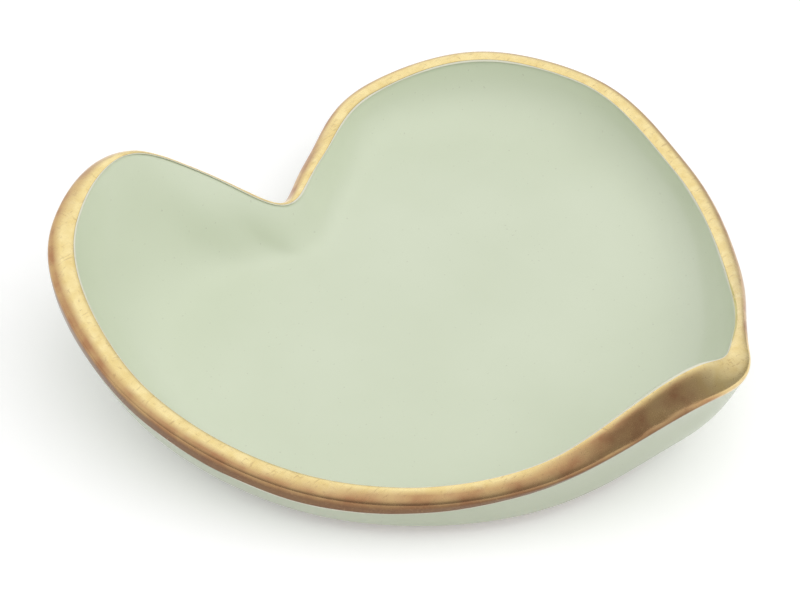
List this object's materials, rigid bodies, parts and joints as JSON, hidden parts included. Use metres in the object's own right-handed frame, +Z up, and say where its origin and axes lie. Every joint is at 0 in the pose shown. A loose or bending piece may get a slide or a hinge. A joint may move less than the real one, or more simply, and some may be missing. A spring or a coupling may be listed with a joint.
{
  "type": "ring dish",
  "caption": "Heart-shaped ring dish with a raised tip, a rolled left lobe, sage glaze inside and out and a gold lip.",
  "frame": {"origin": "on the table, under the middle of the dish's outline", "axes": "+Z up out of the bowl, -Y towards the tip of the heart, +X towards the right lobe seen from above with the tip towards the viewer"},
  "size_m": [0.1275, 0.1177, 0.0291],
  "materials": {
    "bare_clay": "bare fired stoneware, matt and slightly gritty",
    "inner_glaze": "smooth sage glaze, satin gloss",
    "outer_glaze": "smooth sage glaze, satin gloss",
    "gold": "fired gold lustre, brushed on by hand, fine scratches"
  },
  "bodies": {
    "root": {"dish_body": "bare_clay", "inner_glaze": "inner_glaze", "outer_glaze": "outer_glaze", "gold_band": "gold", "base_glaze": "outer_glaze"}
  },
  "joints": []
}
